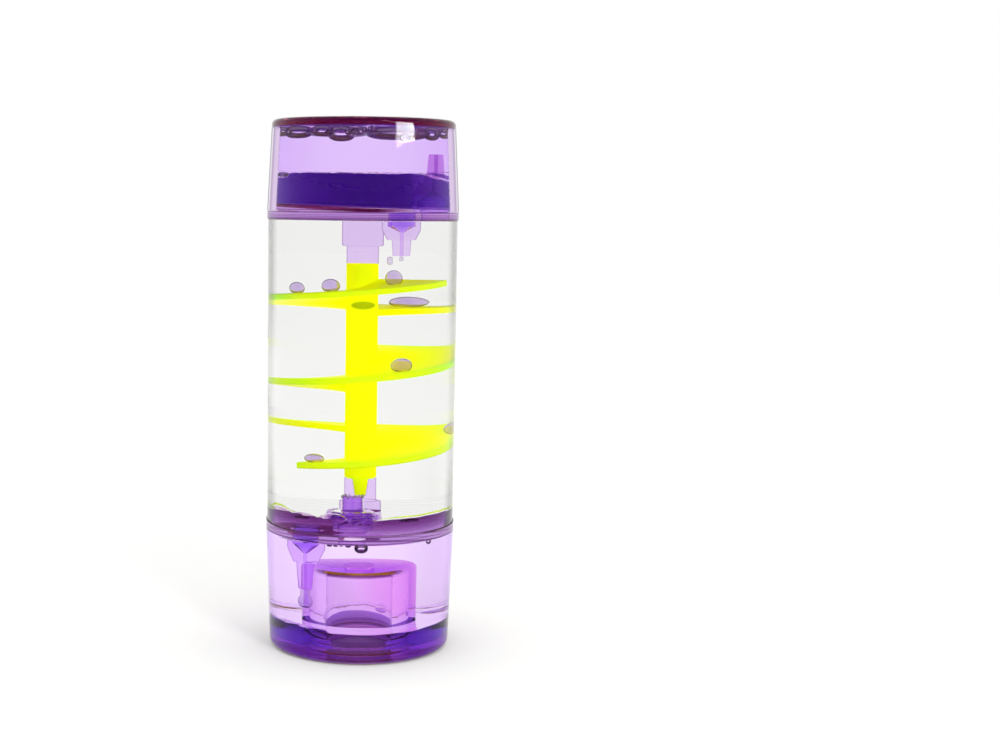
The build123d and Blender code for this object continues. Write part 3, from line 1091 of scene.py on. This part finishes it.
# Finish of the pieces that the frame holds
carried = {
    "fill_plug": (tinted_plug, "tinted_base"),
    "lower_plate": (tinted_plate, "tinted_plate"),
    "upper_plate": (tinted_plate, "tinted_plate"),
    "ramp": (ramp_yellow_painted_glow, "ramp_plastic"),
    "upper_well_dye": (dye_well, "coloured_liquid"),
    "lower_well_dye": (dye_well, "coloured_liquid"),
}
for name in nodes:
    if (name.endswith("_drop") or name.endswith("_bead")) and name not in drop_bodies:
        carried[name] = (dye_drop, "coloured_drop")
for name, (finish, slot) in carried.items():
    nodes[name].data.materials.clear()
    nodes[name].data.materials.append(finish)

# Floor
floor_reach = 3.0
floor_mesh = bmesh.new()
turn(
    floor_mesh,
    [(0, -0.0002, 0), (floor_reach, -0.0002, 0), (floor_reach, -0.01, 0), (0, -0.01, 0)],
    64,
)
bmesh.ops.recalc_face_normals(floor_mesh, faces=floor_mesh.faces)
floor_data = bpy.data.meshes.new("floor")
floor_mesh.to_mesh(floor_data)
floor_mesh.free()
floor = bpy.data.objects.new("floor", floor_data)
bpy.context.scene.collection.objects.link(floor)
floor_finish = new_finish("pale_floor")
floor_place, floor_distance, floor_height = floor_finish.spot()
grain = floor_finish.noise(floor_place, 40.0, 3.0)
pale = floor_finish.between(grain, (0.93, 0.93, 0.93, 1.0), (0.96, 0.96, 0.96, 1.0))
matt = floor_finish.add("ShaderNodeBsdfDiffuse", None, {"Color": pale})["BSDF"]
path = floor_finish.add("ShaderNodeLightPath")
seen = path["Is Camera Ray"].larger(path["Is Glossy Ray"]).larger(path["Is Transmission Ray"])
glimmer = floor_finish.between(seen, (0.0, 0.0, 0.0, 1.0), white)
glow = floor_finish.add("ShaderNodeEmission", None, {"Color": glimmer, "Strength": 0.07})
floor_data.materials.append(
    floor_finish.close(
        floor_finish.add("ShaderNodeAddShader", None, {0: matt, 1: glow["Emission"]})["Shader"]
    )
)

# Light
world = bpy.data.worlds.new("studio")
bpy.context.scene.world = world
sky = Finish(world)
toward = sky.add("ShaderNodeTexCoord")["Generated"]
up = sky.add("ShaderNodeSeparateXYZ", None, {"Vector": toward})["Z"]
path = sky.add("ShaderNodeLightPath")
open_side = path["Is Camera Ray"].larger(path["Is Diffuse Ray"])
room = sky.between(up.rise(0.35, 0.8), white, (0.55, 0.55, 0.55, 1.0))
seen = sky.between(open_side, room, white)
sky.close(sky.add("ShaderNodeBackground", None, {"Color": seen, "Strength": 1.0})["Background"])


def soft_lamp(name, place, target, size, power, through):
    data = bpy.data.lights.new(name, "AREA")
    data.shape = "RECTANGLE"
    data.size, data.size_y = size
    data.energy = power
    made = bpy.data.objects.new(name, data)
    made.location = place
    made.rotation_mode = "QUATERNION"
    made.rotation_quaternion = (Vector(target) - Vector(place)).to_track_quat("-Z", "Y")
    made.visible_camera = False
    made.visible_transmission = through
    bpy.context.scene.collection.objects.link(made)
    return made


soft_lamp("window", (0.35, -0.62, 0.42), (0.0, 0.0, 0.1), (0.16, 0.2), 1.6, False)
strip = soft_lamp("strip", (0.545, -0.431, 0.2325), (0.0, 0.0, 0.13), (0.3, 0.027), 2.9, False)
strip.visible_diffuse = False

# Camera
camera_height = 0.1205
camera_distance = 0.42568
camera_pitch = radians(7.284)
camera_roll = radians(0.606)
camera_lens = 57.63
camera_shift = (0.1389, 0.025)
forward = Vector((0.0, cos(camera_pitch), -sin(camera_pitch)))
level = Vector((1.0, 0.0, 0.0))
upward = level.cross(forward)
right = level * cos(camera_roll) + upward * sin(camera_roll)
above = upward * cos(camera_roll) - level * sin(camera_roll)
camera_data = bpy.data.cameras.new("camera")
camera_data.lens = camera_lens
camera_data.sensor_width = 36.0
camera_data.shift_x, camera_data.shift_y = camera_shift
camera_data.clip_start = 0.01
camera_data.clip_end = 20.0
camera = bpy.data.objects.new("camera", camera_data)
camera.matrix_world = Matrix.Translation((0.0, -camera_distance, camera_height)) @ Matrix(
    (right, above, -forward)
).transposed().to_4x4()
bpy.context.scene.collection.objects.link(camera)
bpy.context.scene.camera = camera

scene = bpy.context.scene
scene.view_settings.view_transform = "Standard"
scene.cycles.max_bounces = 40
scene.cycles.transmission_bounces = 36
scene.cycles.glossy_bounces = 10
scene.cycles.diffuse_bounces = 5
scene.cycles.transparent_max_bounces = 24
scene.cycles.sample_clamp_indirect = 4.0
